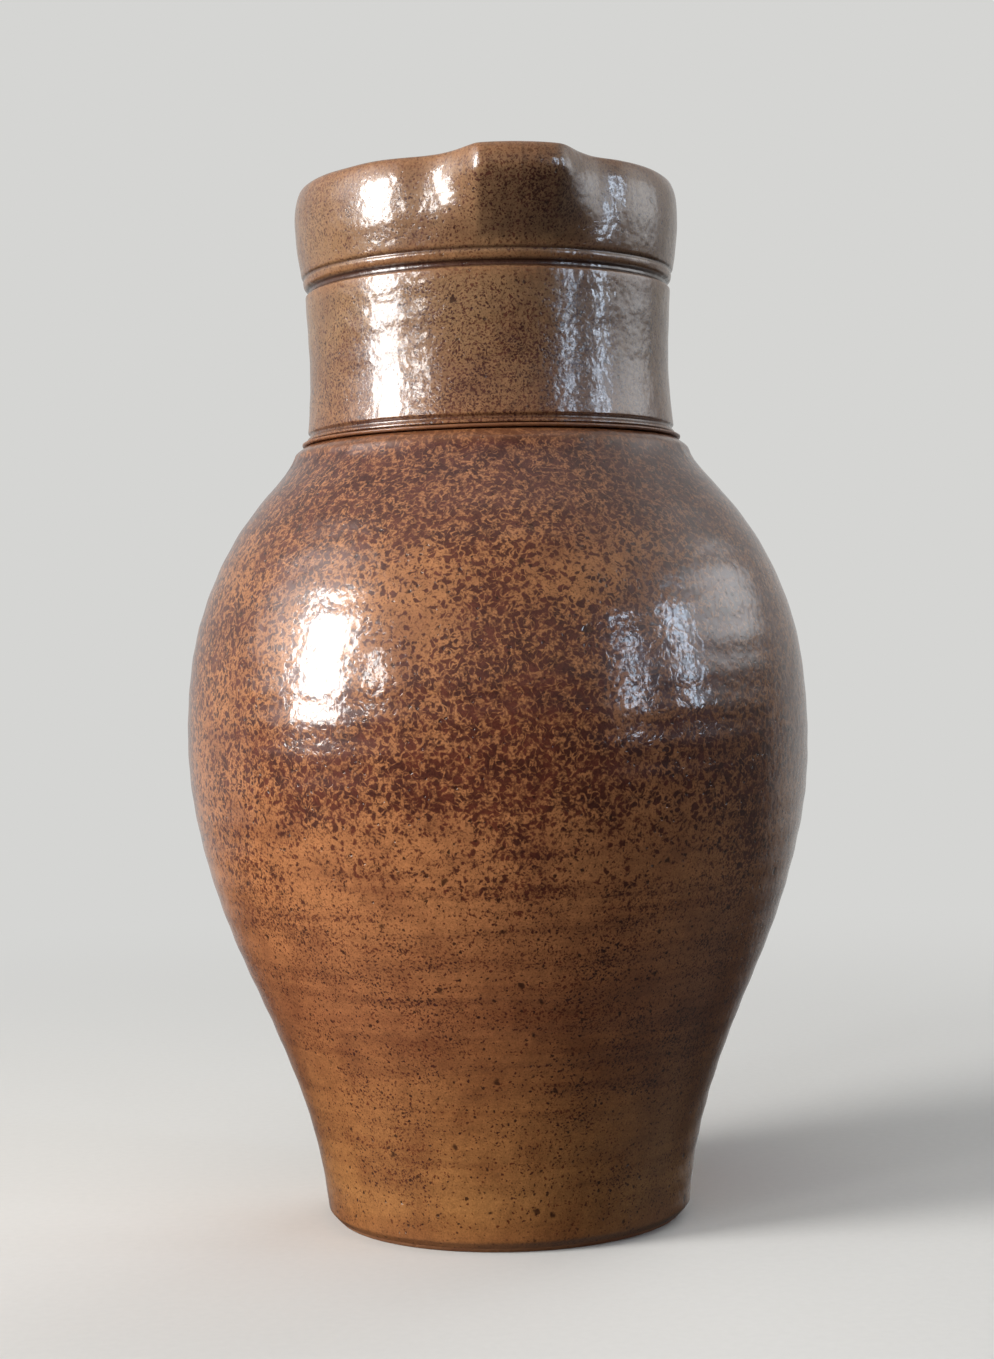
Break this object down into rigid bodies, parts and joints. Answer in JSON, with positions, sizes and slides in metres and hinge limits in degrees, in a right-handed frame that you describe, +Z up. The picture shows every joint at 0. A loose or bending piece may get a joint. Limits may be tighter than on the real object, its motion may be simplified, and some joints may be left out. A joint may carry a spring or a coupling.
{
  "type": "pottery pitcher",
  "caption": "Tall round-bellied salt-glazed stoneware pitcher with a waisted neck, a grooved rim band, a pulled spout and a strap handle, for holding and pouring liquids.",
  "frame": {"origin": "centre of the foot's flat underside, which the pitcher stands on", "axes": "+Z up along the thrown axis, -Y towards the spout, +Y towards the handle, X across"},
  "size_m": [0.1686, 0.196, 0.2805],
  "materials": {
    "body_glaze": "glossy orange-brown salt glaze with dark brown mottling on the shoulder and fine specks below",
    "neck_glaze": "glossy tan-brown salt glaze with fine dark specks and dark scored lines",
    "handle_glaze": "glossy orange-brown salt glaze, paler on the edges",
    "slip": "fired slip under a thin dark salt glaze"
  },
  "bodies": {
    "root": {"body": "body_glaze", "neck": "neck_glaze", "neck_luting": "slip", "handle": "handle_glaze", "handle_upper_luting": "slip", "handle_lower_luting": "slip"}
  },
  "joints": []
}
